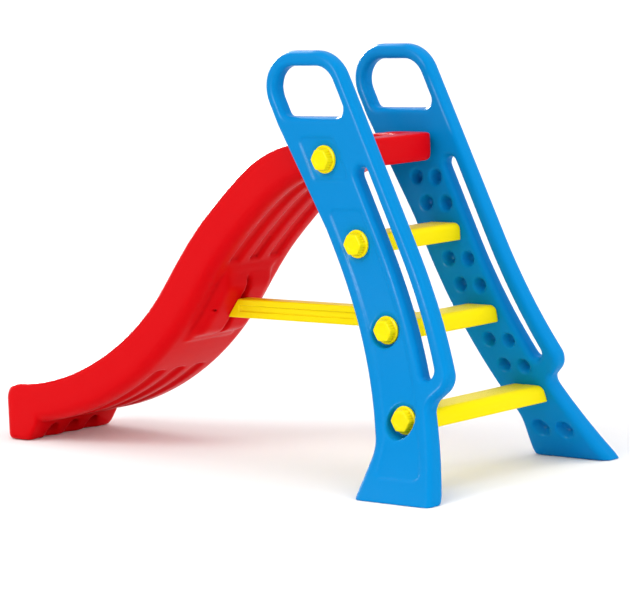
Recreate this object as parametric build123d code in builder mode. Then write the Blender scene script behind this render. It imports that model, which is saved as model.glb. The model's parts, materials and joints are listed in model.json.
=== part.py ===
"""Folding toddler slide: two ladder side panels, a chute, three steps, a brace and its bolts.

Frame: +Z up, the floor at z = 0, the chute's exit at -X and the ladder at +X, the child's
left side at -Y, and the origin on the floor below the middle of the object.
Every ladder feature is placed by its height and by its offset from the bolt line, the
leaning line that the four bolts of each side panel lie on.
"""

import os
from math import cos, radians, tan

from build123d import *

os.makedirs("parts", exist_ok=True)

# ---- driving dimensions, millimetres and degrees --------------------------------------
ladder_height = 726          # floor to the top of the handles
rail_lean = 24.8             # lean of the rails and of the bolt line, from upright
bolt_line_foot_x = 517.5     # where the bolt line meets the floor
first_step_z = 122.5         # height of the lowest step's middle
step_rise = 140.5            # from step to step, and from the top step to the chute bolt
step_count = 3

panel_gap = 204              # between the side panels' inner faces, in their upright part
panel_thickness = 30
foot_thickness = 44          # across the foot, along Y
splay = 128                  # how far each foot stands out from the upright part
splay_start = 0.55           # the panels are upright above this share of their height
splay_power = 2.15           # how the splay grows towards the floor
panel_front = 61             # bolt line to the panel's front edge
handle_front = 80            # the same at the handle
rail_rear = 108              # bolt line to the rear of the rail
foot_rear = 58               # bolt line to the panel's rear edge below the rail
foot_toe = 103.5             # bolt line to the toe
flare_z = 76                 # where the front edge starts to run out to the toe
rail_foot_z = 149            # where the rail's rear edge has come in to the panel's
bar_width = 26               # rail and handle bar, measured along X
slot_width = 24              # hand slot between the panel and the rail
handle_drop = 111            # ladder top to the lowest edge of the handle opening
edge_round = 10              # moulded edges of the panel
recess_depth = 1.5           # of the panel's two shallow outer fields
dimple_mouth = 15            # radius of a tack-off dimple at the inner face
dimple_bottom = 6
dimple_depth = 15
dimple_spacing = 42
dimple_shift = 5             # from the bolt line to the middle of a pair
dimple_row = 22.5            # from the middle between two bolts to a row of dimples
foot_dimple_mouth = 20       # the pair of larger dimples above the foot
foot_dimple_bottom = 9
foot_dimple_spacing = 51
foot_dimple_z = 55
field_round = 10             # corners of the two shallow fields

chute_rear_x = 318
chute_clearance = 3.5        # each side, between the chute's rear end and the panels
exit_flare = 13              # extra half width at the exit
chute_floor = 28             # from the sliding surface to the underside
platform_depth = 49          # the same at the platform's rear edge
rim_height = 48              # from the sliding surface to the top of the side rims
exit_foot = 58               # length of the foot under the exit
exit_nose = 36               # radius of the rims' front corner, seen from the side
platform_round = 20          # of the platform's rear upper edge
plan_round = 16              # of the chute's four corners, seen from above
under_round = 22             # of the chute's lower edges, seen along it
rim_round = 6                # of the rims' upper edges
trough_round = 14            # where the sliding surface rises into the rims
rim_width = 17               # of the chute's side rims
flute_width = 26
flute_depth = 7
socket_width = 130
socket_height = 20           # how far the brace socket stands off the underside
socket_above = 80            # brace middle to the socket's upper end
socket_below = 60            # brace middle to its lower end
socket_round = 16            # of the socket's long edges
socket_slot_above = 47       # brace top to the slot's upper end

step_depth = 72
step_thickness = 30
tread_round = 12             # of a step's two upper edges
step_under_round = 7
step_gap = 0.4               # between a step's end and the panel's inner face

bolt_shank = 22
bolt_clearance = 0.4         # radial, through a panel or into a step
pivot_clearance = 0.08       # radial, where the chute turns on its two bolts
bolt_flange = 50
flange_thickness = 4
bolt_head = 35               # across the flats
head_height = 12
head_taper = 6               # degrees, of the head's flats
bolt_grip = 40               # how far a bolt reaches past the panel's inner face
pocket_clearance = 4         # around the flange
pocket_sink = 3              # of the pocket's floor below the face at its upper edge

brace_height = 34
brace_width = 30
brace_flange = 11            # height of the brace's upper and lower flange
brace_recess = 3             # depth of the groove between them
brace_end_wall = 6           # plain stretch at each end of the groove
brace_gap = 0.8              # between the brace's end and the chute's socket
tongue_width = 9
tongue_length = 12
tongue_clearance = 0.8       # each side, in the socket's slot
lock_hole = 7                # cross hole through the socket and the tongue
pin_diameter = 9
pin_clearance = 0.1          # radial, in the brace's eye
eye_radius = 11
eye_width = 18
lug_thickness = 8
lug_gap = 0.6                # between a lug and the brace's eye
pivot_reach = 15             # from the step's front to the brace pin
pin_head = 15
pin_head_thickness = 3

# ---- the bolt line and the panel's faces ----------------------------------------------
lean = tan(radians(rail_lean))
chute_exit_x = -(bolt_line_foot_x + foot_rear)   # so that the origin is midway
chute_pivot_z = first_step_z + step_count * step_rise
step_heights = [first_step_z + i * step_rise for i in range(step_count)]
bolt_heights = step_heights + [chute_pivot_z]
upright_below = splay_start * ladder_height
band_steps = 8
beyond = 40                  # how far a cutter runs past what it cuts
proud = 2                    # how far one starts outside a face
standing = (Align.CENTER, Align.CENTER, Align.MIN)


def on_lean(offset, z):
    """The (x, z) point at an offset from the bolt line, at a height."""
    return (bolt_line_foot_x - lean * z + offset, z)


def spread(z):
    """How far the panel's middle stands out at a height, beyond its upright part."""
    return splay * max(0.0, 1 - z / upright_below) ** splay_power


def half_thickness(z):
    """Half the panel's size along Y, which grows towards the foot."""
    return (panel_thickness + (foot_thickness - panel_thickness) * spread(z) / splay) / 2


def inner_y(z):
    """The inner face of a side panel at a height."""
    return panel_gap / 2 + panel_thickness / 2 + spread(z) - half_thickness(z)


def outer_y(z):
    """The outer face of a side panel at a height."""
    return panel_gap / 2 + panel_thickness / 2 + spread(z) + half_thickness(z)


def face_curve(face, shift):
    """A side panel's face seen along X, from the floor up, moved along Y by a shift."""
    heights = [upright_below * k / band_steps for k in range(band_steps + 1)]
    return [(face(z) + shift, z) for z in heights]


def foot_direction(face):
    """The (y, z) direction in which a face of the panel leaves the floor."""
    rise = upright_below / 100
    return (face(rise) - face(0), rise)


def slab(near, near_shift, far, far_shift):
    """The space between two faces of the panel, from the floor to above the handle."""
    near_points = face_curve(near, near_shift)
    far_points = face_curve(far, far_shift)
    top = ladder_height + beyond
    with BuildPart(mode=Mode.PRIVATE) as space:
        with BuildSketch(Plane.YZ.offset(chute_exit_x - beyond)):
            with BuildLine():
                Spline(*near_points, tangents=[foot_direction(near), (0, 1)])
                Spline(*far_points, tangents=[foot_direction(far), (0, 1)])
                Line(near_points[0], far_points[0])
                near_top, far_top = (near_points[-1][0], top), (far_points[-1][0], top)
                Polyline(near_points[-1], near_top, far_top, far_points[-1])
            make_face()
        extrude(amount=2 * (ladder_height + beyond) + bolt_line_foot_x)
    return space.part


# ---- ladder side panels ---------------------------------------------------------------
handle_z = ladder_height - handle_drop
slot_bottom_z = first_step_z + 65
slot_top_z = chute_pivot_z - 12
upper_field = (chute_pivot_z - 36, chute_pivot_z + 38)
lower_field = (36, step_heights[-1] + 58)
slot_offset = rail_rear - bar_width - slot_width / cos(radians(rail_lean)) / 2
pocket_radius = bolt_flange / 2 + pocket_clearance
bolt_seats = [outer_y(z + pocket_radius) - pocket_sink for z in bolt_heights]

outline_corners = [
    on_lean(-foot_toe, 0),
    on_lean(-panel_front, flare_z),
    on_lean(-panel_front, step_heights[-1] + 20),
    on_lean(-handle_front, handle_z - 15),
    on_lean(-handle_front, ladder_height),
    on_lean(rail_rear, ladder_height),
    on_lean(rail_rear + 4, slot_bottom_z - 5),
    on_lean(foot_rear, rail_foot_z),
    on_lean(foot_rear, 0),
]
outline_rounds = [60, 150, 150, 62, 69, 30, 18]
opening_corners = [
    on_lean(-handle_front + bar_width, handle_z),
    on_lean(-handle_front + bar_width, ladder_height - bar_width),
    on_lean(rail_rear - bar_width, ladder_height - bar_width),
    on_lean(rail_rear - bar_width, handle_z),
]
opening_rounds = [14, 37, 44, 14]
fields = [
    [(-42, upper_field[0]), (-42, upper_field[1]), (39, upper_field[1]), (39, upper_field[0])],
    [
        (-58, lower_field[0]),
        (-36, flare_z + 22),
        (-36, lower_field[1]),
        (38, lower_field[1]),
        (38, lower_field[0]),
    ],
]
dimples = []                 # offset from the bolt line, height, radius at the mouth and at the bottom
for below, above in zip(bolt_heights[:-1], bolt_heights[1:], strict=True):
    for row in (-dimple_row, dimple_row):
        for side in (-1, 1):
            offset = dimple_shift + side * dimple_spacing / 2
            dimples.append((offset, (below + above) / 2 + row, dimple_mouth, dimple_bottom))
for side in (-1, 1):
    offset = (side * foot_dimple_spacing - panel_front / 4) / 2
    dimples.append((offset, foot_dimple_z, foot_dimple_mouth, foot_dimple_bottom))


def rounded_outline(corners, rounds):
    """A closed (x, z) outline whose given corners are rounded."""
    with BuildSketch(mode=Mode.PRIVATE) as outline:
        with BuildLine():
            Polyline(*corners, close=True)
        make_face()
        for (x, z), r in rounds.items():
            fillet(outline.vertices().sort_by_distance((x, z))[0], radius=r)
    return outline.sketch


panel_rounds = dict(zip(outline_corners[1:8], outline_rounds, strict=True))
opening_round_map = dict(zip(opening_corners, opening_rounds, strict=True))

with BuildPart() as right_panel:
    with BuildSketch(Plane.XZ):
        add(rounded_outline(outline_corners, panel_rounds))
        add(rounded_outline(opening_corners, opening_round_map), mode=Mode.SUBTRACT)
        slot_middle = on_lean(slot_offset, (slot_bottom_z + slot_top_z) / 2)
        slot_length = (slot_top_z - slot_bottom_z - slot_width) / cos(radians(rail_lean))
        with Locations(slot_middle):
            SlotCenterToCenter(slot_length, slot_width, rotation=90 + rail_lean, mode=Mode.SUBTRACT)
    extrude(amount=-(outer_y(0) + beyond))
    add(slab(inner_y, 0, outer_y, 0), mode=Mode.INTERSECT)

    rim_edges = right_panel.edges().filter_by(Axis.Y, reverse=True)
    fillet(rim_edges.filter_by(lambda edge: edge.center().Z > 1), radius=edge_round)

    # two shallow fields on the outer face
    with BuildPart(mode=Mode.PRIVATE) as field_cut:
        with BuildSketch(Plane.XZ):
            for corners in fields:
                points = [on_lean(*corner) for corner in corners]
                add(rounded_outline(points, {point: field_round for point in points}))
        extrude(amount=-(outer_y(0) + beyond))
        add(slab(outer_y, -recess_depth, outer_y, beyond), mode=Mode.INTERSECT)
    add(field_cut.part, mode=Mode.SUBTRACT)

    # bolt pockets with flat floors, and the bolt holes through them
    for height, seat in zip(bolt_heights, bolt_seats, strict=True):
        x, z = on_lean(0, height)
        with Locations(Plane(origin=(x, seat, z), z_dir=(0, 1, 0))):
            Cylinder(pocket_radius, 2 * beyond, align=standing, mode=Mode.SUBTRACT)
            Cylinder(bolt_shank / 2 + bolt_clearance, 4 * beyond, mode=Mode.SUBTRACT)

    # tack-off dimples in the inner face
    for offset, height, mouth, bottom in dimples:
        x, z = on_lean(offset, height)
        inward = Vector(0, 1, inner_y(z) - inner_y(z + 1)).normalized()
        with Locations(Plane(origin=Vector(x, inner_y(z), z) - inward * proud, z_dir=inward)):
            Cone(mouth, bottom, dimple_depth + proud, align=standing, mode=Mode.SUBTRACT)

with BuildPart() as left_panel:
    add(right_panel.part.mirror(Plane.XZ))

right_panel.part.label = "right_panel"
left_panel.part.label = "left_panel"
export_step(right_panel.part, "parts/right_panel.step")
export_step(left_panel.part, "parts/left_panel.step")

# ---- chute ----------------------------------------------------------------------------
chute_pivot_x = on_lean(0, chute_pivot_z)[0]
chute_run = chute_pivot_x - chute_exit_x
ride_shares = [
    (-0.063, 1.055),
    (0.018, 1.042),
    (0.161, 0.950),
    (0.277, 0.814),
    (0.384, 0.650),
    (0.474, 0.474),
    (0.578, 0.325),
    (0.691, 0.219),
    (0.841, 0.136),
    (1.000, 0.113),
]
ride_points = [(chute_pivot_x - u * chute_run, v * chute_pivot_z) for u, v in ride_shares]
ride = Spline(*ride_points)
ride_steps = 14
section_count = 14
rim_start = 0.24             # share of the ride where the rims have their full height
nose_share = 0.93            # share of the ride where the rims end in the nose
foot_share = 0.925           # share of the ride where the underside meets the foot
flute_rows = [-52, 0, 52]
upper_flutes = (0.16, 0.40)
lower_flutes = (0.66, 0.90)
brace_z = step_heights[1]
brace_pivot_x = on_lean(-step_depth / 2 - pivot_reach, brace_z)[0]


def off_ride(t, distance):
    """A point beside the sliding surface: positive is above it, negative below."""
    along = ride % t
    return (ride @ t) + Vector(along.Y, -along.X) * distance


def smooth(share):
    """0 to 1 with no corner at either end."""
    share = max(0.0, min(1.0, share))
    return share * share * (3 - 2 * share)


def on_ride(t):
    """The sliding surface itself."""
    return 0


def rim_rise(t):
    """Height of the side rims, which grow smoothly from the platform's rear edge."""
    return rim_height * smooth(t / rim_start)


def under_drop(t):
    """From the sliding surface to the underside, furthest under the platform."""
    return -platform_depth + (platform_depth - chute_floor) * smooth(t / rim_start)


def shifted(distance, extra):
    """The same distance along the chute, with a little more."""
    return lambda t: distance(t) + extra


def curve_beside(t_from, t_to, distance):
    """Points along the chute, at a distance from the sliding surface."""
    shares = [t_from + (t_to - t_from) * i / ride_steps for i in range(ride_steps + 1)]
    return [off_ride(t, distance(t)) for t in shares]


def along_chute(t_from, t_to, low, high, width, middle_y=0.0):
    """A solid that follows the chute, between two distances from the sliding surface."""
    lower = curve_beside(t_from, t_to, low)
    upper = curve_beside(t_from, t_to, high)
    with BuildPart(mode=Mode.PRIVATE) as strip:
        with BuildSketch(Plane.XZ.offset(width / 2 - middle_y)):
            with BuildLine():
                Spline(*lower)
                Spline(*upper)
                Line(lower[0], upper[0])
                Line(lower[-1], upper[-1])
            make_face()
        extrude(amount=-width)
    return strip.part


def plan_prism(inset, front_reach):
    """An upright block over the chute's plan, less an inset, from below to above it."""
    rear_half = panel_gap / 2 - chute_clearance - inset
    exit_half = rear_half + exit_flare
    front_x = chute_exit_x - front_reach
    with BuildPart(mode=Mode.PRIVATE) as prism:
        with BuildSketch(Plane.XY.offset(-beyond)) as plan:
            with BuildLine():
                Polyline(
                    (chute_rear_x, -rear_half),
                    (front_x, -exit_half),
                    (front_x, exit_half),
                    (chute_rear_x, rear_half),
                    close=True,
                )
            make_face()
            fillet(plan.vertices(), radius=plan_round)
        extrude(amount=ladder_height)
    return prism.part


def share_at(distance, height):
    """The share of the ride where a line at a distance from it reaches a height."""
    shares = [i / 1000 for i in range(300, 901)]
    return min(shares, key=lambda t: abs(off_ride(t, distance(t)).Y - height))


pad_face = shifted(under_drop, -socket_height)
tongue_middle = shifted(pad_face, tongue_length / 2)
lock_share = share_at(tongue_middle, brace_z)
lock_x = off_ride(lock_share, tongue_middle(lock_share)).X
socket_top = share_at(under_drop, brace_z + socket_above)
socket_end = share_at(under_drop, brace_z - socket_below)
slot_start = share_at(pad_face, brace_z + brace_height / 2 + socket_slot_above)


def socket_drop(t):
    """From the sliding surface to the socket, which swells smoothly out of the underside."""
    ramp = (socket_end - socket_top) / 4
    swell = smooth((t - socket_top) / ramp) * smooth((socket_end - t) / ramp)
    return under_drop(t) - 1 - (socket_height - 1) * swell


chute_width = panel_gap - 2 * chute_clearance + 2 * exit_flare
exit_surface_z = ride_points[-1][1]
foot_rear_x = chute_exit_x + exit_foot

def chute_half(x):
    """Half the chute's width at a place along X."""
    share = (chute_rear_x - x) / (chute_rear_x - chute_exit_x)
    return panel_gap / 2 - chute_clearance + exit_flare * share


def trough_half(x):
    """The same between the rims."""
    return chute_half(x) - rim_width


def socket_half(x):
    """Half the socket's width, which is the same all along it."""
    return socket_width / 2


def section_loft(span, half_width, low, high, low_round, high_round):
    """A solid through rounded cross-sections that stand square to the sliding surface."""
    with BuildPart(mode=Mode.PRIVATE) as solid:
        for i in range(section_count):
            t = span[0] + (span[1] - span[0]) * i / (section_count - 1)
            foot = ride @ t
            along = ride % t
            half = half_width(foot.X)
            square = Plane(origin=(foot.X, 0, foot.Y), x_dir=(0, 1, 0), z_dir=(-along.X, 0, -along.Y))
            with BuildSketch(square) as section:
                with Locations((0, (low(t) + high(t)) / 2)):
                    Rectangle(2 * half, high(t) - low(t))
                fitting = min(low_round, (high(t) - low(t)) * 3 / 4)
                fillet(section.vertices().group_by(Axis.Y)[0], radius=fitting)
                if high_round:
                    fillet(section.vertices().group_by(Axis.Y)[-1], radius=high_round)
        loft()
    return solid.part


with BuildPart() as trough:
    above_rims = shifted(rim_rise, 2 * rim_height)
    add(section_loft((0, 1), trough_half, on_ride, above_rims, trough_round, 0))
    open_end = 2 * trough_half(chute_exit_x)
    with Locations((chute_exit_x + 1, 0, exit_surface_z)):
        Box(beyond, open_end, 3 * rim_height, align=(Align.MAX, Align.CENTER, Align.MIN))

with BuildPart() as side_prism:
    rim_curve = curve_beside(0, nose_share, rim_rise)
    under_curve = curve_beside(0, foot_share, under_drop)
    nose_corner = (chute_exit_x, exit_surface_z + rim_height)
    with BuildSketch(Plane.XZ.offset(chute_width)) as side_view:
        with BuildLine():
            Spline(*rim_curve)
            Spline(*under_curve)
            Line(rim_curve[0], under_curve[0])
            Polyline(rim_curve[-1], nose_corner, (chute_exit_x, 0), (foot_rear_x, 0), under_curve[-1])
        make_face()
        corner = side_view.vertices().sort_by_distance
        fillet(corner(nose_corner)[0], radius=exit_nose)
        fillet(corner(tuple(rim_curve[0]))[0], radius=platform_round)
        fillet(corner(tuple(under_curve[0]))[0], radius=platform_round / 2)
    extrude(amount=-2 * chute_width)

with BuildPart() as chute:
    add(section_loft((0, 1), chute_half, under_drop, rim_rise, under_round, rim_round))
    with Locations((chute_exit_x, 0, 0)):
        Box(
            exit_foot + under_round,
            chute_width,
            exit_surface_z - rim_round,
            align=(Align.MIN, Align.CENTER, Align.MIN),
        )
    add(side_prism.part, mode=Mode.INTERSECT)
    add(plan_prism(0, 0), mode=Mode.INTERSECT)
    add(trough.part, mode=Mode.SUBTRACT)

    # moulded flutes in the underside and scallops in the foot, in three rows
    for middle_y in flute_rows:
        for t_from, t_to in (upper_flutes, lower_flutes):
            low, high = shifted(under_drop, -beyond), shifted(under_drop, flute_depth)
            add(along_chute(t_from, t_to, low, high, flute_width, middle_y), mode=Mode.SUBTRACT)
        with Locations((foot_rear_x + flute_depth / 2, middle_y, -1)):
            Cylinder(flute_width / 2, exit_surface_z - chute_floor, align=standing, mode=Mode.SUBTRACT)

    # the brace socket: a raised pad with a slot for the brace's tongue
    socket_root = shifted(under_drop, under_round / 2)
    add(section_loft((socket_top, socket_end), socket_half, socket_drop, socket_root, socket_round, 0))
    slot_low = shifted(pad_face, -proud)
    slot_high = shifted(pad_face, tongue_length + brace_gap)
    slot_wide = tongue_width + 2 * tongue_clearance
    slot = along_chute(slot_start, socket_end, slot_low, slot_high, slot_wide)
    add(slot, mode=Mode.SUBTRACT)
    with Locations(Plane(origin=(lock_x, 0, brace_z), z_dir=(0, 1, 0))):
        Cylinder(lock_hole / 2, socket_width + proud, mode=Mode.SUBTRACT)

    # the two coaxial bolts that the chute hangs from, and turns on
    with Locations(Plane(origin=(chute_pivot_x, 0, chute_pivot_z), z_dir=(0, 1, 0))):
        for side in (-1, 1):
            with Locations((0, 0, side * panel_gap / 2)):
                Cylinder(bolt_shank / 2 + pivot_clearance, 2 * (bolt_grip + proud), mode=Mode.SUBTRACT)

chute.part.label = "chute"
export_step(chute.part, "parts/chute.step")

# ---- steps ----------------------------------------------------------------------------
step_names = ["lower_step", "middle_step", "upper_step"]


def step_end(z):
    """Where the right end of a step is, at a height."""
    return inner_y(z) - step_gap


def other_step_end(z):
    return -step_end(z)


inside = slab(other_step_end, 0, step_end, 0)
steps = {}
for name, height in zip(step_names, step_heights, strict=True):
    x, z = on_lean(0, height)
    reach = inner_y(height - step_thickness / 2)
    with BuildPart() as step:
        with BuildSketch(Plane.XZ.offset(reach)) as section:
            with Locations((x, z)):
                Rectangle(step_depth, step_thickness)
            upper_corners = section.vertices().group_by(Axis.Y)[-1]
            lower_corners = section.vertices().group_by(Axis.Y)[0]
            fillet(upper_corners, radius=tread_round)
            fillet(lower_corners, radius=step_under_round)
        extrude(amount=-2 * reach)
        add(inside, mode=Mode.INTERSECT)
        with Locations(Plane(origin=(x, 0, z), z_dir=(0, 1, 0))):
            for side in (-1, 1):
                with Locations((0, 0, side * inner_y(height))):
                    Cylinder(bolt_shank / 2 + bolt_clearance, 2 * (bolt_grip + proud), mode=Mode.SUBTRACT)
        if name == "middle_step":
            lug_y = eye_width / 2 + lug_gap + lug_thickness / 2
            for side in (-1, 1):
                with BuildSketch(Plane.XZ.offset(side * lug_y + lug_thickness / 2)):
                    with BuildLine():
                        Polyline(
                            (x - step_depth / 2 + 3, z - eye_radius),
                            (brace_pivot_x, z - eye_radius),
                            (brace_pivot_x, z + eye_radius),
                            (x - step_depth / 2 + 3, z + eye_radius),
                            close=True,
                        )
                    make_face()
                    with Locations((brace_pivot_x, z)):
                        Circle(eye_radius)
                        Circle(pin_diameter / 2, mode=Mode.SUBTRACT)
                extrude(amount=-lug_thickness)
    step.part.label = name
    export_step(step.part, f"parts/{name}.step")

# ---- brace and its pin ----------------------------------------------------------------
far_above = shifted(on_ride, 2 * beyond)
reach_span = (0.3, 0.9)      # shares of the ride that a cutter along the brace's end spans
with BuildPart() as brace:
    body_end_x = brace_pivot_x - 2 * eye_radius
    with BuildSketch(Plane.YZ.offset(body_end_x)) as section:
        with Locations((0, brace_z)):
            Rectangle(brace_width, brace_height)
        fillet(section.vertices(), radius=3)
    extrude(amount=lock_x - brace_height - body_end_x)
    groove_height = brace_height - 2 * brace_flange
    groove_start = lock_x + brace_height / 2 + brace_end_wall
    groove_length = body_end_x - brace_end_wall - groove_start
    for side in (-1, 1):
        with Locations((groove_start + groove_length / 2, side * brace_width / 2, brace_z)):
            Box(groove_length, 2 * brace_recess, groove_height, mode=Mode.SUBTRACT)
    face = shifted(pad_face, -brace_gap)
    add(along_chute(*reach_span, face, far_above, 2 * brace_width), mode=Mode.SUBTRACT)
    with BuildPart(mode=Mode.PRIVATE) as tongue:
        with Locations(((lock_x + body_end_x) / 2, 0, brace_z)):
            Box(body_end_x - lock_x + brace_height, tongue_width, brace_height - 2 * brace_recess)
        tip = shifted(pad_face, tongue_length)
        add(along_chute(*reach_span, tip, far_above, 2 * brace_width), mode=Mode.SUBTRACT)
        with Locations(Plane(origin=(lock_x, 0, brace_z), z_dir=(0, 1, 0))):
            Cylinder(lock_hole / 2, brace_width, mode=Mode.SUBTRACT)
    add(tongue.part)
    with Locations(((brace_pivot_x + body_end_x) / 2, 0, brace_z)):
        Box(brace_pivot_x - body_end_x + 2, eye_width, 1.6 * eye_radius)
    with Locations(Plane(origin=(brace_pivot_x, 0, brace_z), z_dir=(0, 1, 0))):
        Cylinder(eye_radius, eye_width)
        Cylinder(pin_diameter / 2 + pin_clearance, 2 * eye_width, mode=Mode.SUBTRACT)

brace.part.label = "brace"
export_step(brace.part, "parts/brace.step")

with BuildPart() as brace_pin:
    pin_half = eye_width / 2 + lug_gap + lug_thickness
    with Locations(Plane(origin=(brace_pivot_x, 0, brace_z), z_dir=(0, 1, 0))):
        Cylinder(pin_diameter / 2, 2 * pin_half)
        for side in (-1, 1):
            with Locations((0, 0, side * (pin_half + pin_head_thickness / 2))):
                Cylinder(pin_head / 2, pin_head_thickness)

brace_pin.part.label = "brace_pin"
export_step(brace_pin.part, "parts/brace_pin.step")

# ---- bolts ----------------------------------------------------------------------------
bolt_names = ["lower_step", "middle_step", "upper_step", "chute"]
for name, height, seat in zip(bolt_names, bolt_heights, bolt_seats, strict=True):
    x, z = on_lean(0, height)
    tip_y = inner_y(height) - bolt_grip
    with BuildPart() as bolt:
        with Locations(Plane(origin=(x, seat, z), z_dir=(0, 1, 0))):
            Cylinder(bolt_flange / 2, flange_thickness, align=(Align.CENTER, Align.CENTER, Align.MIN))
            Cylinder(bolt_shank / 2, seat - tip_y, align=(Align.CENTER, Align.CENTER, Align.MAX))
        with BuildSketch(Plane(origin=(x, seat + flange_thickness, z), z_dir=(0, 1, 0))) as head:
            RegularPolygon(bolt_head / 2, 6, major_radius=False)
            fillet(head.vertices(), radius=4)
        extrude(amount=head_height, taper=head_taper)
        fillet(bolt.faces().sort_by(Axis.Y)[-1].edges(), radius=1.5)
        chamfer(bolt.faces().sort_by(Axis.Y)[0].edges(), length=2)
    bolt.part.label = f"right_{name}_bolt"
    export_step(bolt.part, f"parts/right_{name}_bolt.step")
    with BuildPart() as other:
        add(bolt.part.mirror(Plane.XZ))
    other.part.label = f"left_{name}_bolt"
    export_step(other.part, f"parts/left_{name}_bolt.step")
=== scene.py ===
# %% [markdown]
# # A folding toddler slide in moulded plastic
#
# The real slide is bought as a box of big hollow plastic mouldings: two blue ladder sides, a
# red chute, yellow steps and a yellow brace, held together by eight fat yellow screws. The
# CAD model carries every size and every joint. This lesson dresses it: it softens the shapes
# the way a mould does, adds what a mould leaves behind, and gives each plastic its finish.
# The CAD is loaded first as a fixed frame, and nothing below moves a part of it.

# %% Load the CAD frame
import json
import math

import bmesh
import bpy
from mathutils import Matrix, Vector

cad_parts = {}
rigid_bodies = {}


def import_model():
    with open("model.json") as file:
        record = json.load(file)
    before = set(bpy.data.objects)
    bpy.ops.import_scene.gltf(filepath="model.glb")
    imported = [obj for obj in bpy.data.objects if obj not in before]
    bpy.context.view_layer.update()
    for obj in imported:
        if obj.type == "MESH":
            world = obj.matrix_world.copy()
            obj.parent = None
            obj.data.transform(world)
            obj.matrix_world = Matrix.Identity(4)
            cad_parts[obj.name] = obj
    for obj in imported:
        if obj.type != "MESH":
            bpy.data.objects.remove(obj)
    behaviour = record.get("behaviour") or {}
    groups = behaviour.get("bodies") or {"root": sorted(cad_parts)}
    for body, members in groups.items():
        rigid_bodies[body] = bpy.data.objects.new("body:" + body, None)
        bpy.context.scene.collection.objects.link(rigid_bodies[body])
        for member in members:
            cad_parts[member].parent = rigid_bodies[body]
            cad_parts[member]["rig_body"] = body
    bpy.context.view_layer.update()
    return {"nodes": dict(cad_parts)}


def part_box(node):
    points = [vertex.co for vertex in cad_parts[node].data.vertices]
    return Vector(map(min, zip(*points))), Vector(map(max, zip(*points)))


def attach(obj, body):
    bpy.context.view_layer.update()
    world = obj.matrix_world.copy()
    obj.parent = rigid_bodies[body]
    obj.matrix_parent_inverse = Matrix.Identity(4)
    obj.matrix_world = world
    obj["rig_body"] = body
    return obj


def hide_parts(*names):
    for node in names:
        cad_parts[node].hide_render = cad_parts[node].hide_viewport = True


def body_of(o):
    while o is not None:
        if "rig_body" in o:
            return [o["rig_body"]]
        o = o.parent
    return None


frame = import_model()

MM = 0.001
print("CAD nodes:", ", ".join(sorted(frame["nodes"])))

# %% [markdown]
# ## The camera
#
# Catalogue pictures of outdoor toys are taken from far off with a long lens, a little above
# the toy, so its edges stay almost parallel. The camera could be placed by eye; here its
# place and turn were solved from the toy's own straight edges, and are given as a position
# in metres, a heading, a tilt down and a slight roll.

# %% Camera
CAMERA_PLACE = Vector((3.556, -3.898, 0.895))
CAMERA_HEADING = math.radians(41.42)
CAMERA_TILT = math.radians(6.71)
CAMERA_ROLL = math.radians(-2.31)
LENS_MM, SENSOR_MM = 170.74, 36.0

camera = bpy.data.objects.new("camera", bpy.data.cameras.new("camera"))
bpy.context.collection.objects.link(camera)
camera.data.lens, camera.data.sensor_width = LENS_MM, SENSOR_MM
camera.location = CAMERA_PLACE
heading = Matrix.Rotation(CAMERA_HEADING, 4, "Z")
tilt = Matrix.Rotation(math.pi / 2 - CAMERA_TILT, 4, "X")
roll = Matrix.Rotation(CAMERA_ROLL, 4, "Z")
camera.rotation_mode = "QUATERNION"
camera.rotation_quaternion = (heading @ tilt @ roll).to_quaternion()
bpy.context.scene.camera = camera
sight = camera.rotation_quaternion @ Vector((0, 0, -1))
print("camera looks along", [round(c, 3) for c in sight])

# %% [markdown]
# ## Tools for materials
#
# Colours are written as sRGB hex values, the way a colour chart gives them, and Blender mixes
# light in linear values, so one function turns the first into the second. A second function
# adds one node to a material, with its settings and its links. That is all a procedural
# material needs, and it keeps each recipe readable as a list of what is done to the surface.
# A noise texture takes its scale as patches per metre, so a third turns a real size into that.


# %% Colour, node and scale tools
def linear(hex_colour):
    """An sRGB hex colour as the linear RGBA that shaders take."""
    parts = [int(hex_colour[i : i + 2], 16) / 255 for i in (1, 3, 5)]
    return [c / 12.92 if c <= 0.04045 else ((c + 0.055) / 1.055) ** 2.4 for c in parts] + [1.0]


def add_node(tree, kind, inputs=None, **settings):
    """Adds a node, sets its properties and fills its inputs with values or with other outputs."""
    node = tree.nodes.new(kind)
    for name, value in settings.items():
        setattr(node, name, value)
    for name, value in (inputs or {}).items():
        if isinstance(value, bpy.types.NodeSocket):
            tree.links.new(value, node.inputs[name])
        else:
            node.inputs[name].default_value = value
    return node


def per_metre(size_mm):
    """The scale of a pattern whose patches are this many millimetres across."""
    return 1 / (size_mm * MM)


print("linear value of #808080:", round(linear("#808080")[0], 3))
print("patches of 4 mm:", per_metre(4), "to the metre")

# %% [markdown]
# ## The colour of blow-moulded polyethylene
#
# The ladder sides, the chute, the steps and the brace are HDPE, blow moulded: a hot tube of
# plastic is clamped in a mould and inflated against it, which leaves a thick waxy skin. The
# pigment is in the plastic, so the colour is deep and even. It is only a little lighter in
# slow patches where the wall is thin. The colour is also made a little lighter on the ridges,
# and darker in the hollows, where it is painted shade.
#
# It could be one flat colour, but then it would look like paint. Here a slow noise gives the
# patches. The geometry's pointiness, which is a half on flat skin, more on ridges and less in
# hollows, finds the edges and the hollows.

# %% Colour of the plastic
MOTTLE_MM = 140.0
MOTTLE_SHARE = 0.10
NOISE_LOW, NOISE_HIGH = 0.3, 0.7
RIDGE_FROM, RIDGE_FULL, RIDGE_SHARE = 0.52, 0.60, 0.22
# Painted shade: the hollows are mixed toward a darker colour, as though shade falls there.
HOLLOW_FULL, HOLLOW_FROM, HOLLOW_SHADE_SHARE = 0.43, 0.493, 0.75


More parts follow.
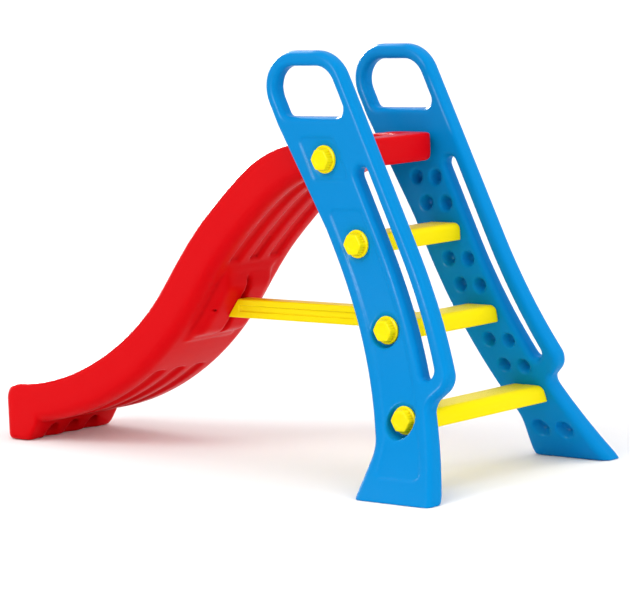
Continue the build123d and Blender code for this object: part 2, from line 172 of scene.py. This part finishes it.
def plastic_colour(tree, place, body_hex, ridge_hex, shade_hex):
    """The body colour, mottled, lighter on the ridges, with painted shade in the hollows."""
    mottle = add_node(
        tree,
        "ShaderNodeTexNoise",
        {"Vector": place, "Scale": per_metre(MOTTLE_MM), "Detail": 3.0},
    )
    mottled = add_node(
        tree,
        "ShaderNodeMapRange",
        {
            "Value": mottle.outputs["Fac"],
            "From Min": NOISE_LOW,
            "From Max": NOISE_HIGH,
            "To Max": MOTTLE_SHARE,
        },
    )
    bend = add_node(tree, "ShaderNodeNewGeometry").outputs["Pointiness"]
    ridge = add_node(
        tree,
        "ShaderNodeMapRange",
        {"Value": bend, "From Min": RIDGE_FROM, "From Max": RIDGE_FULL, "To Max": RIDGE_SHARE},
    )
    # Painted shade in the hollows: the less pointy the skin, the more of the darker shade colour.
    hollow = add_node(
        tree,
        "ShaderNodeMapRange",
        {
            "Value": bend,
            "From Min": HOLLOW_FULL,
            "From Max": HOLLOW_FROM,
            "To Min": HOLLOW_SHADE_SHARE,
            "To Max": 0.0,
        },
    )
    lightening = add_node(
        tree,
        "ShaderNodeMath",
        {0: mottled.outputs["Result"], 1: ridge.outputs["Result"]},
        operation="ADD",
    )
    skin_colour = add_node(
        tree,
        "ShaderNodeMix",
        {"Factor": lightening.outputs["Value"], "A": linear(body_hex), "B": linear(ridge_hex)},
        data_type="RGBA",
    )
    shaded_in_hollows = add_node(
        tree,
        "ShaderNodeMix",
        {
            "Factor": hollow.outputs["Result"],
            "A": skin_colour.outputs["Result"],
            "B": linear(shade_hex),
        },
        data_type="RGBA",
    )
    return shaded_in_hollows.outputs["Result"]


print("mottle of", MOTTLE_MM, "mm,", round(per_metre(MOTTLE_MM), 1), "patches to the metre")

# %% [markdown]
# ## The skin that a mould leaves
#
# A blow mould is sand blasted, so that air can get out from behind the plastic. The blasting
# leaves a fine grain, and with it a soft, wide highlight instead of a mirror. Then the thick
# skin sinks a little as it cools, unevenly, so a long highlight wavers. Both are heights, so
# both are bumps, one on top of the other, and the grain varies the roughness too.
#
# The grain of such a mould is 0.3 to 0.5 mm. It is drawn at 1.2 mm so that it shows at all,
# and the slow sink marks are about 60 mm across.

# %% Skin of the plastic
GRAIN_MM, GRAIN_STRENGTH = 1.2, 0.6
SINK_MM, SINK_DEPTH_MM = 60.0, 0.6
GRAIN_LOW, GRAIN_HIGH = 0.35, 0.65
SMOOTHER, ROUGHER = 0.05, 0.07


def moulded_skin(tree, place, roughness, grain_depth_mm):
    """The skin's normal and its roughness."""
    grain = add_node(
        tree,
        "ShaderNodeTexNoise",
        {"Vector": place, "Scale": per_metre(GRAIN_MM), "Detail": 2.0},
    )
    sink = add_node(
        tree,
        "ShaderNodeTexNoise",
        {"Vector": place, "Scale": per_metre(SINK_MM), "Detail": 1.0},
    )
    sunk = add_node(
        tree,
        "ShaderNodeBump",
        {"Height": sink.outputs["Fac"], "Distance": SINK_DEPTH_MM * MM, "Strength": 1.0},
    )
    grained = add_node(
        tree,
        "ShaderNodeBump",
        {
            "Height": grain.outputs["Fac"],
            "Distance": grain_depth_mm * MM,
            "Strength": GRAIN_STRENGTH,
            "Normal": sunk.outputs["Normal"],
        },
    )
    gloss = add_node(
        tree,
        "ShaderNodeMapRange",
        {
            "Value": grain.outputs["Fac"],
            "From Min": GRAIN_LOW,
            "From Max": GRAIN_HIGH,
            "To Min": roughness - SMOOTHER,
            "To Max": roughness + ROUGHER,
        },
    )
    return grained.outputs["Normal"], gloss.outputs["Result"]


print("grain of", GRAIN_MM, "mm over sink marks of", SINK_MM, "mm")

# %% [markdown]
# ## The three plastics of the mouldings
#
# A Principled shader takes the colour and the skin. HDPE has an IOR of about 1.5. The specular
# level is set low, because the surround is white on every side and its full reflection would
# veil the pigment; two of the lights are made strong in the gloss alone, and bring the
# highlights back.

# %% Blow-moulded plastics
PLASTIC_IOR = 1.51
PLASTIC_SPECULAR = 0.04
BLOW_GRAIN_DEPTH_MM = 0.05


def moulded_plastic(name, hex_colours, roughness, grain_depth_mm):
    """A moulded plastic from its body, worn and deep colours and its skin."""
    material = bpy.data.materials.new(name)
    material.use_nodes = True
    tree = material.node_tree
    tree.nodes.clear()
    place = add_node(tree, "ShaderNodeTexCoord").outputs["Object"]
    colour = plastic_colour(tree, place, *hex_colours)
    normal, gloss = moulded_skin(tree, place, roughness, grain_depth_mm)
    skin = add_node(
        tree,
        "ShaderNodeBsdfPrincipled",
        {
            "Base Color": colour,
            "Roughness": gloss,
            "IOR": PLASTIC_IOR,
            "Specular IOR Level": PLASTIC_SPECULAR,
            "Normal": normal,
        },
    )
    add_node(tree, "ShaderNodeOutputMaterial", {"Surface": skin.outputs["BSDF"]})
    print("material:", name)
    return material


# Each plastic takes a body colour, a lighter colour for the ridges, and a darker colour that is
# painted into the hollows as shade.
blue_hdpe = moulded_plastic(
    "blow_moulded_hdpe_blue", ("#0088CF", "#0894DA", "#00579C"), 0.30, BLOW_GRAIN_DEPTH_MM
)
red_hdpe = moulded_plastic(
    "blow_moulded_hdpe_red", ("#D9020D", "#EA1611", "#86040A"), 0.32, BLOW_GRAIN_DEPTH_MM
)
yellow_hdpe = moulded_plastic(
    "blow_moulded_hdpe_yellow", ("#FFE900", "#FFF03C", "#D8AE00"), 0.32, BLOW_GRAIN_DEPTH_MM
)

# %% [markdown]
# ## Injection-moulded polypropylene for the screws
#
# The screws are solid polypropylene, injected into a polished mould, so they are glossier
# than the hollow parts and their edges are crisper. They could have a recipe of their own, but
# the surface is made in the same way, so it is the same one with a shallower grain and less
# roughness. The IOR of polypropylene, about 1.49, is close enough to share.

# %% Screw plastic
SCREW_GRAIN_DEPTH_MM = 0.02

# The third colour is again painted shade for the hollows.
screw_plastic = moulded_plastic(
    "injection_moulded_pp_yellow", ("#FFE900", "#FFF24A", "#C99C00"), 0.24, SCREW_GRAIN_DEPTH_MM
)

# %% [markdown]
# ## Zinc plating for the pin
#
# The brace turns on a steel pin with bright zinc plating. It is a metal, so it takes its
# colour from its reflections, and the plating bath leaves it faintly cloudy. The clouds are
# changes of roughness about 4 mm across, not changes of colour.

# %% Zinc plating
CLOUD_MM = 4.0
CLOUD_SMOOTH, CLOUD_ROUGH = 0.22, 0.4

zinc = bpy.data.materials.new("zinc_plated_steel")
zinc.use_nodes = True
zinc_tree = zinc.node_tree
zinc_tree.nodes.clear()
zinc_place = add_node(zinc_tree, "ShaderNodeTexCoord").outputs["Object"]
cloud = add_node(
    zinc_tree,
    "ShaderNodeTexNoise",
    {"Vector": zinc_place, "Scale": per_metre(CLOUD_MM), "Detail": 4.0},
)
cloudy = add_node(
    zinc_tree,
    "ShaderNodeMapRange",
    {
        "Value": cloud.outputs["Fac"],
        "From Min": NOISE_LOW,
        "From Max": NOISE_HIGH,
        "To Min": CLOUD_SMOOTH,
        "To Max": CLOUD_ROUGH,
    },
)
plating = add_node(
    zinc_tree,
    "ShaderNodeBsdfPrincipled",
    {"Base Color": linear("#C9CDD2"), "Metallic": 1.0, "Roughness": cloudy.outputs["Result"]},
)
add_node(zinc_tree, "ShaderNodeOutputMaterial", {"Surface": plating.outputs["BSDF"]})
print("material:", zinc.name)

# %% [markdown]
# ## Softening a CAD solid into a moulding
#
# A CAD solid has exact faces that meet in lines, while a blow-moulded skin flows over every
# edge, because the soft plastic bridges into the corners of the mould. The mouldings could be
# modelled again by hand with subdivision surfaces. But the exact shape is already there, so a
# copy of the solid is rebuilt from small even cells (a voxel remesh) and its surface is then
# relaxed. Relaxing rounds the small edges by a few millimetres and leaves broad shapes alone,
# which is just what the mould does. A smaller piece takes a smaller cell, so that its smallest
# feature is still several cells wide.

# %% Mouldings from the CAD solids
RELAX_FACTOR = 0.5


def apply_modifiers(piece):
    """Makes a piece's modifiers part of its mesh."""
    shown = piece.evaluated_get(bpy.context.evaluated_depsgraph_get())
    mesh = bpy.data.meshes.new_from_object(shown)
    piece.modifiers.clear()
    piece.data = mesh
    for face in mesh.polygons:
        face.use_smooth = True


def frame_body(node):
    """The name of the body that a CAD node rides on."""
    return body_of(frame["nodes"][node])[0]


def moulding(node, name, material, cell_mm, rounds):
    """A softened copy of a CAD node, which stands for it in the picture."""
    source = frame["nodes"][node]
    piece = bpy.data.objects.new(name, source.data.copy())
    bpy.context.collection.objects.link(piece)
    piece.data.materials.clear()
    piece.data.materials.append(material)
    cells = piece.modifiers.new("cells", "REMESH")
    cells.mode, cells.voxel_size = "VOXEL", cell_mm * MM
    cells.use_smooth_shade = True
    soft = piece.modifiers.new("relaxed", "SMOOTH")
    soft.factor, soft.iterations = RELAX_FACTOR, rounds
    apply_modifiers(piece)
    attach(piece, frame_body(node))
    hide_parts(node)
    print(f"{name}: {len(piece.data.polygons)} faces of {cell_mm} mm, relaxed {rounds} rounds")
    return piece


print("bodies:", ", ".join(sorted({frame_body(node) for node in frame["nodes"]})))

# %% [markdown]
# ## Softer in some places than in others
#
# A mould's corners aren't equally sharp. Where the toy meets the floor, and along the edges
# of the chute, they are rounder, and around a slot the mould is kept crisp. So a second
# relaxing takes a share from 0 to 1 at each point of the skin, worked out from where the point
# is, in millimetres, and held in a vertex group.

# %% Relaxing by place
FOOT_MM = 12.0
FOOT_SHARE = 1.5


def relax_where(piece, share_at, rounds):
    """Relaxes a moulding's skin further, by a share from 0 to 1 that depends on the place."""
    group = piece.vertex_groups.new(name="relaxed_here")
    for vertex in piece.data.vertices:
        share = min(1.0, share_at(vertex.co / MM))
        if share > 0:
            group.add([vertex.index], share, "REPLACE")
    soft = piece.modifiers.new("relaxed_here", "SMOOTH")
    soft.factor, soft.iterations, soft.vertex_group = RELAX_FACTOR, rounds, group.name
    apply_modifiers(piece)
    print(f"{piece.name}: {rounds} rounds more, {share_at.__name__}")


def near_floor(p):
    """All of the skin at the floor, fading out above it."""
    return FOOT_SHARE * (1 - p.z / FOOT_MM)


print("feet are softer below", FOOT_MM, "mm")

# %% [markdown]
# ## The ladder sides
#
# Each blue side is one moulding: a leaning post that splays out to a foot, with a handle loop
# at the top, a rail split off by a long hand slot, two shallow fields outside and rows of
# dimples inside, where the two walls are pinched together to stiffen the panel. The fields
# are only a millimetre and a half deep, so the whole panel is relaxed very little, and its
# foot more.

# %% Ladder sides
for side in ("left", "right"):
    panel = moulding(f"{side}_panel", f"{side}_ladder_side", blue_hdpe, 2.3, 3)
    relax_where(panel, near_floor, 42)

# %% [markdown]
# ## The chute
#
# The red chute is the largest moulding: a platform, an S-curved bed between two rims, and an
# exit foot, with flutes and a brace socket underneath. Its long edges are generously round,
# so everything is relaxed more, except for the slot that takes the brace's tongue. The front
# corners of the rims are the roundest of all, because a child's legs pass them.

# %% Chute
SLOT_X = (-170, 10)
SLOT_HALF_WIDTH = 22
SLOT_FADE = 12
NOSE_LENGTH, NOSE_Z = 40.5, 80
NOSE_FADE_X, NOSE_FADE_Z = 15, 10
nose_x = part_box("chute")[0].x / MM + NOSE_LENGTH


def off_the_slot(p):
    """All of the chute except around the brace's slot, which the mould keeps crisp."""
    if not SLOT_X[0] < p.x < SLOT_X[1]:
        return 1.0
    return (abs(p.y) - SLOT_HALF_WIDTH) / SLOT_FADE


def at_nose(p):
    """The front corners of the chute's rims."""
    return min((nose_x - p.x) / NOSE_FADE_X, (p.z - NOSE_Z) / NOSE_FADE_Z)


chute = moulding("chute", "chute_moulding", red_hdpe, 3.1, 4)
relax_where(chute, off_the_slot, 14)
relax_where(chute, at_nose, 38)
relax_where(chute, near_floor, 33)

# %% [markdown]
# ## The steps and the brace
#
# The three yellow steps are short hollow beams between the ladder sides. Bare feet stand on
# them, so their edges are well rounded, and they are relaxed well too. The brace is the slim
# yellow bar that keeps the chute and the ladder apart, with one long shallow groove down
# each side, between an upper and a lower flange. It is the slimmest moulding, so its cells
# are the smallest.

# %% Steps and brace
for place in ("lower", "middle", "upper"):
    moulding(f"{place}_step", f"{place}_tread", yellow_hdpe, 1.6, 10)
moulding("brace", "brace_moulding", yellow_hdpe, 1.0, 6)

# %% [markdown]
# ## The profile of a screw
#
# Each screw has a washer-like flange, a head with six flats that a child can't undo by hand
# but a parent can with a spanner, finger grooves along the flats, a shallow dish in its face
# from the mould's core, and a coarse thread on its shank. The CAD screw is a plain stand-in.
# The detailed one could be cut with booleans, but it is turned like a pot, ring by ring, and
# then shaped around, which gives even faces everywhere. This cell is the profile: each ring is
# a height above the flange's seat, a radius, and how hexagonal the ring is, from 0 to 1.

# %% Screw profile
FLANGE_R, FLANGE_H = 23.8, 4.0
HEAD_FLAT_R, HEAD_TOP = 18.2, 16.0
DISH_R, DISH_DEPTH = 12.0, 0.6
SHANK_R, TIP_CHAMFER = 10.8, 2.2
THREAD_PITCH, THREAD_DEPTH = 7.0, 1.5
RINGS_PER_TURN = 8
THREAD_MARGIN = 3.0


def shank_rings(length):
    """From the tip up to the flange, close enough together to carry the thread."""
    rings = [
        (-length, 0.5, 0),
        (-length, SHANK_R - TIP_CHAMFER, 0),
        (-length + TIP_CHAMFER, SHANK_R, 0),
    ]
    height = -length + THREAD_MARGIN
    while height < -THREAD_MARGIN:
        rings.append((height, SHANK_R, 0))
        height += THREAD_PITCH / RINGS_PER_TURN
    return rings


FLANGE_RINGS = [
    (-0.2, SHANK_R, 0),
    (0.0, SHANK_R + 0.6, 0),
    (0.0, FLANGE_R - 0.8, 0),
    (0.4, FLANGE_R - 0.2, 0),
    (1.2, FLANGE_R, 0),
    (FLANGE_H - 1.4, FLANGE_R, 0),
    (FLANGE_H - 0.5, FLANGE_R - 0.3, 0),
    (FLANGE_H, FLANGE_R - 1.2, 0),
]
HEAD_RINGS = [
    (FLANGE_H, HEAD_FLAT_R + 3.0, 0.6),
    (FLANGE_H + 0.3, HEAD_FLAT_R + 1.0, 1),
    (FLANGE_H + 1.2, HEAD_FLAT_R + 0.1, 1),
    (FLANGE_H + 5.0, HEAD_FLAT_R - 0.3, 1),
    (HEAD_TOP - 3.0, HEAD_FLAT_R - 0.9, 1),
    (HEAD_TOP - 1.1, HEAD_FLAT_R - 1.3, 1),
    (HEAD_TOP - 0.3, HEAD_FLAT_R - 1.9, 1),
    (HEAD_TOP, HEAD_FLAT_R - 3.0, 1),
]
DISH_RINGS = [
    (HEAD_TOP, DISH_R, 0.3),
    (HEAD_TOP - 0.1, DISH_R - 1.5, 0),
    (HEAD_TOP - 0.45, DISH_R - 3.0, 0),
    (HEAD_TOP - DISH_DEPTH, DISH_R - 5.0, 0),
    (HEAD_TOP - DISH_DEPTH, DISH_R - 9.0, 0),
    (HEAD_TOP - DISH_DEPTH, DISH_R - 11.6, 0),
]
print("rings above the shank:", len(FLANGE_RINGS + HEAD_RINGS + DISH_RINGS))

# %% [markdown]
# ## Shaping a screw around its axis
#
# On a turned body every ring is a circle. The flats, the grooves and the thread all depend on
# the angle too, so each is a small change of radius: a soft-cornered hexagon, a ripple of 24
# grooves around the flats, and a groove that climbs by one pitch in each turn.

# %% Screw shape
CORNER_SOFTNESS = 0.25
CORNER_SPREAD = 1.06
GROOVES, GROOVE_DEPTH = 24, 0.6
GROOVE_FROM, GROOVE_TO = FLANGE_H + 0.5, HEAD_TOP - 0.9
THREAD_FROM_TIP, THREAD_TO = 2.5, -2.8
THREAD_STEEPNESS = 5


def hexagon_radius(angle, flat_radius):
    """Radius of a soft-cornered hexagon whose flats are this far out."""
    swing = angle % (math.pi / 3) - math.pi / 6
    sharp = flat_radius / math.cos(swing)
    return sharp * (1 - CORNER_SOFTNESS) + flat_radius * CORNER_SPREAD * CORNER_SOFTNESS


def thread_cut(height, angle):
    """How far the thread's groove cuts in at a point of the shank."""
    phase = (height / THREAD_PITCH - angle / (2 * math.pi)) % 1.0
    return THREAD_DEPTH * min(1.0, max(0.0, abs(phase - 0.5) * THREAD_STEEPNESS - 1.0))


def radius_at(ring, angle, shank_length):
    """Radius of the screw's surface on a ring, in the direction of an angle."""
    height, radius, hexed = ring
    shaped = radius
    if hexed:
        shaped = radius * (1 - hexed) + hexagon_radius(angle, radius) * hexed
    if hexed == 1 and GROOVE_FROM < height < GROOVE_TO:
        shaped -= GROOVE_DEPTH * max(0.0, math.cos(GROOVES * angle)) ** 2
    if -shank_length + THREAD_FROM_TIP < height < THREAD_TO:
        shaped -= thread_cut(height, angle)
    return shaped


print("head across its flats:", 2 * HEAD_FLAT_R, "mm")

# %% [markdown]
# ## The eight screws
#
# Four screws go through each ladder side: three into the ends of the steps and one into the
# chute. The axis, the seat and the shank's length of each are read from the box of its CAD
# screw. The rings are joined by quads, and the two ends are closed.

# %% Screws
SCREW_SPOKES = 96


def screw(node, name):
    """A detailed screw where a CAD bolt is, with its axis along Y."""
    low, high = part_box(node)
    outward = 1 if (low.y + high.y) > 0 else -1
    centre_x, centre_z = (low.x + high.x) / 2, (low.z + high.z) / 2
    seat_y = max(abs(low.y), abs(high.y)) - HEAD_TOP * MM
    shank_length = (high.y - low.y) / MM - HEAD_TOP
    mesh = bmesh.new()
    rows = []
    for ring in [*shank_rings(shank_length), *FLANGE_RINGS, *HEAD_RINGS, *DISH_RINGS]:
        y = outward * (seat_y + ring[0] * MM)
        row = []
        for k in range(SCREW_SPOKES):
            angle = 2 * math.pi * k / SCREW_SPOKES
            r = radius_at(ring, angle, shank_length) * MM
            x, z = centre_x + r * math.cos(angle), centre_z + r * math.sin(angle)
            row.append(mesh.verts.new((x, y, z)))
        rows.append(row)
    for lower, upper in zip(rows[:-1], rows[1:], strict=True):
        for k in range(SCREW_SPOKES):
            after = (k + 1) % SCREW_SPOKES
            mesh.faces.new((lower[k], lower[after], upper[after], upper[k]))
    mesh.faces.new(rows[0])
    mesh.faces.new(rows[-1])
    bmesh.ops.recalc_face_normals(mesh, faces=mesh.faces)
    data = bpy.data.meshes.new(name)
    mesh.to_mesh(data)
    mesh.free()
    for face in data.polygons:
        face.use_smooth = True
    piece = bpy.data.objects.new(name, data)
    bpy.context.collection.objects.link(piece)
    data.materials.append(screw_plastic)
    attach(piece, frame_body(node))
    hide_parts(node)
    return piece


screws = []
for side in ("left", "right"):
    for place in ("lower_step", "middle_step", "upper_step", "chute"):
        screws.append(screw(f"{side}_{place}_bolt", f"{side}_{place}_screw"))
print(len(screws), "screws of", len(screws[0].data.polygons), "faces")

# %% [markdown]
# ## The brace's pin
#
# The pin is a plain round bar through the middle step's lugs, and hardly shows. Its CAD shape
# is already right, so it isn't made again: it only takes the zinc plating in place of the
# CAD's own material.

# %% Pin
pin = frame["nodes"]["brace_pin"]
pin.data.materials.clear()
pin.data.materials.append(zinc)
print("the pin keeps its CAD shape, in", zinc.name)

# %% [markdown]
# ## The floor
#
# The toy stands on a seamless sheet of matt white studio paper. A real sweep curves up behind
# the object; a floor so large that its edge lies at the horizon does the same here, and it
# works from every side. It is very pale, so it takes only a faint contact shadow.

# %% Floor
FLOOR_HALF = 150.0
corners = ((-1, -1), (1, -1), (1, 1), (-1, 1))

floor_mesh = bpy.data.meshes.new("studio_floor")
floor_points = [(FLOOR_HALF * x, FLOOR_HALF * y, 0) for x, y in corners]
floor_mesh.from_pydata(floor_points, [], [(0, 1, 2, 3)])
floor = bpy.data.objects.new("studio_floor", floor_mesh)
bpy.context.collection.objects.link(floor)
sweep = bpy.data.materials.new("matt_white_sweep")
sweep.use_nodes = True
sweep.node_tree.nodes.clear()
paper = add_node(
    sweep.node_tree, "ShaderNodeBsdfDiffuse", {"Color": linear("#F6F6F6"), "Roughness": 0.5}
)
add_node(sweep.node_tree, "ShaderNodeOutputMaterial", {"Surface": paper.outputs["BSDF"]})
floor_mesh.materials.append(sweep)
print("floor:", 2 * FLOOR_HALF, "m across")

# %% [markdown]
# ## The lights
#
# Soft boxes near the toy would make pools of light on so large a floor. Sun lamps light it
# evenly, and a sun 30 or 40 degrees wide is as soft as a soft box. The key light stands
# above and in front, the fill opens the shaded faces from the ladder's side, and one from
# the top lights the steps. Two more are seen only in the gloss of the plastics: they draw
# the highlights along the rails and the edges of the mouldings, and light nothing else.


# %% Lights
def far_light(name, place, strength, spread_degrees, only_gloss=False):
    """A wide light far off on the side of a place, facing the origin."""
    light = bpy.data.lights.new(name, "SUN")
    light.energy, light.angle = strength, math.radians(spread_degrees)
    lamp = bpy.data.objects.new(name, light)
    bpy.context.collection.objects.link(lamp)
    lamp.location = place
    lamp.rotation_mode = "QUATERNION"
    lamp.rotation_quaternion = (-Vector(place)).to_track_quat("-Z", "Y")
    lamp.visible_diffuse = not only_gloss
    print(f"{name}: strength {strength}, {spread_degrees} degrees wide")


far_light("key_light", (-0.8, -2.6, 3.0), 0.75, 30)
far_light("fill_light", (3.4, -0.6, 1.5), 0.55, 40)
far_light("top_light", (0.3, 0.6, 3.4), 0.45, 30)
far_light("edge_light", (-3.0, 1.1, 1.3), 24.0, 24, only_gloss=True)
far_light("line_light", (-1.2, -3.6, 0.6), 4.0, 7, only_gloss=True)

# %% [markdown]
# ## The white surround
#
# A white room on every side fills the shadows and keeps the plastics' colours clean. At full
# strength it would wash them out, so it lights the toy a little dimmer than it is seen: a
# light path node tells a ray from the camera apart from a ray that carries light. Colours are
# shown as they are, without the film-like view that Blender starts with.

# %% Surround
SURROUND_LIGHT, SURROUND_SEEN = 0.86, 1.0

world = bpy.data.worlds.new("white_surround")
bpy.context.scene.world = world
world.use_nodes = True
room = world.node_tree
room.nodes.clear()
white = linear("#FFFFFF")
lighting = add_node(room, "ShaderNodeBackground", {"Color": white, "Strength": SURROUND_LIGHT})
seen = add_node(room, "ShaderNodeBackground", {"Color": white, "Strength": SURROUND_SEEN})
by_camera = add_node(room, "ShaderNodeLightPath").outputs["Is Camera Ray"]
surround = add_node(
    room,
    "ShaderNodeMixShader",
    {0: by_camera, 1: lighting.outputs["Background"], 2: seen.outputs["Background"]},
)
add_node(room, "ShaderNodeOutputWorld", {"Surface": surround.outputs["Shader"]})
bpy.context.scene.view_settings.view_transform = "Standard"
print("surround lights at", SURROUND_LIGHT, "and is seen at", SURROUND_SEEN)
